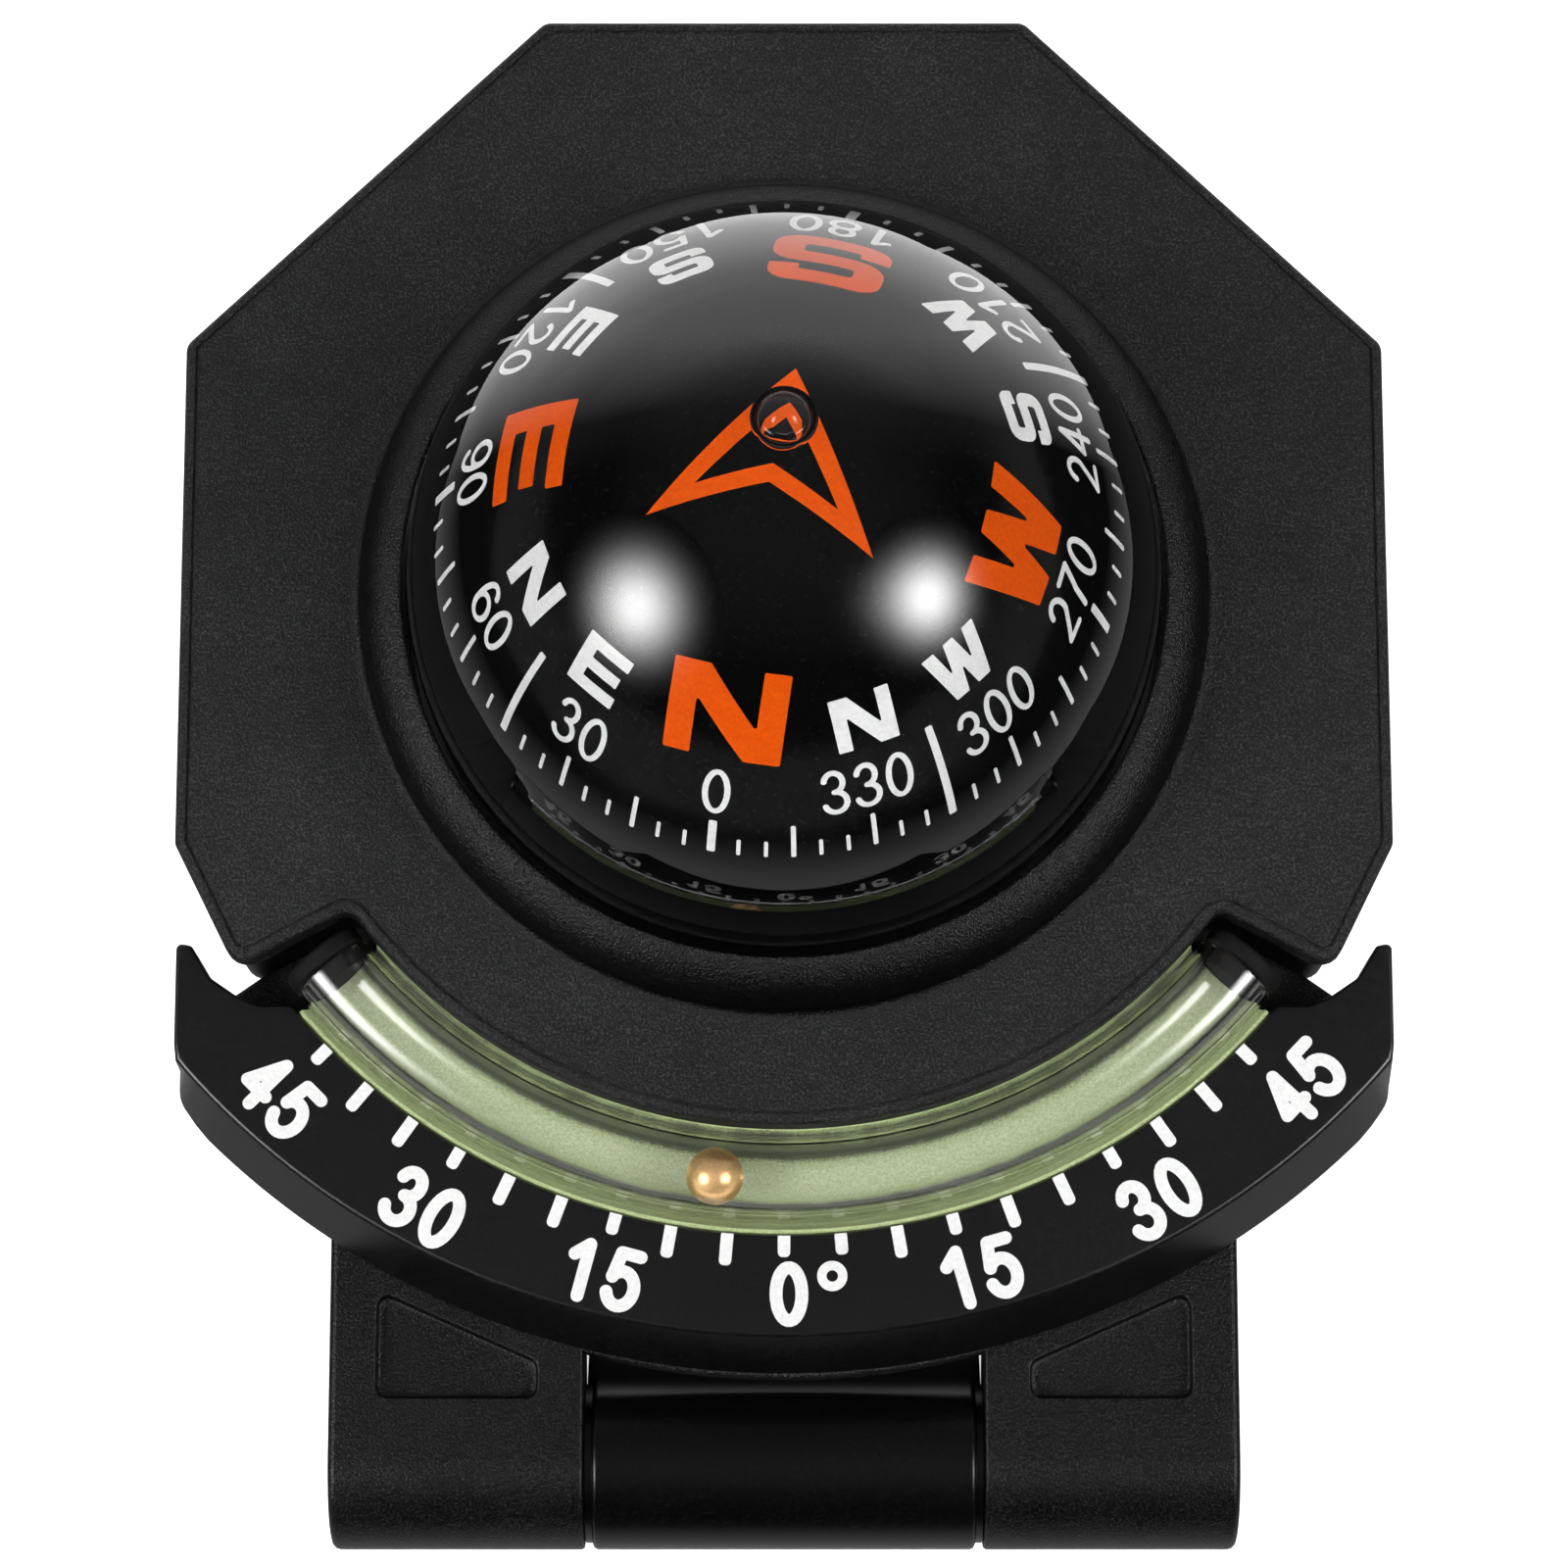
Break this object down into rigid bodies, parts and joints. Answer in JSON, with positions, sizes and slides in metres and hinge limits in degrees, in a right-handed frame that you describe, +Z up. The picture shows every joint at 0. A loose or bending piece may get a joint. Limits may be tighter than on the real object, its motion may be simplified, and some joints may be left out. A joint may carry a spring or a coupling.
{
  "type": "windscreen compass with slope meter",
  "caption": "Liquid-filled ball compass with a curved-tube slope meter in one black housing, on a hinged foot with an adhesive pad.",
  "frame": {"origin": "middle of the adhesive pad's underside", "axes": "+X to the viewer's right, +Y away from the viewer from the hinge towards the pad, +Z up from the pad"},
  "size_m": [0.0746, 0.0919, 0.0559],
  "materials": {
    "textured_black": "fine moulded texture",
    "satin_black": "satin",
    "clear_plastic": "polished clear",
    "luminous_green": "translucent satin",
    "black_rubber": "matte",
    "steel": "brushed",
    "brass": "bright",
    "card_black": "gloss",
    "grey_foam": "matte foam"
  },
  "bodies": {
    "mount": {"mount_foot": "satin_black", "adhesive_pad": "grey_foam", "friction_washer_left": "black_rubber", "friction_washer_right": "black_rubber"},
    "housing": {"hinge_screw": "steel", "hinge_nut": "steel", "front_bezel": "textured_black", "rear_shell": "textured_black", "scale_panel": "satin_black", "luminous_strip": "luminous_green", "slope_tube": "clear_plastic", "tube_plug_left": "black_rubber", "tube_plug_right": "black_rubber", "clear_dome": "clear_plastic", "capsule_cup": "satin_black", "capsule_seal": "black_rubber", "retaining_ring": "brass", "diaphragm": "black_rubber", "diaphragm_cap": "satin_black", "filler_plug": "brass", "pivot_post": "satin_black", "pivot_pin": "steel", "case_screw_1": "steel", "case_screw_2": "steel", "case_screw_3": "steel", "case_screw_4": "steel"},
    "card": {"compass_card": "card_black", "card_float": "grey_foam", "jewel_cup": "brass", "card_magnet_left": "steel", "card_magnet_right": "steel"},
    "ball": {"roll_ball": "brass"}
  },
  "joints": [
    {"name": "housing_tilt", "type": "hinge", "parent": "mount", "child": "housing", "pos_m": [0, -0.038, 0.0065], "axis": [1, 0, 0], "range_deg": [-6, 105]},
    {"name": "card_heading", "type": "hinge", "parent": "housing", "child": "card", "pos_m": [0, 0.0101, 0.03292], "axis": [0, 0, 1], "continuous": true},
    {"name": "ball_roll", "type": "hinge", "parent": "housing", "child": "ball", "pos_m": [0, 0.01145, 0.02626], "axis": [0, -0.1994, 0.9799], "range_deg": [-39, 52.4]}
  ]
}
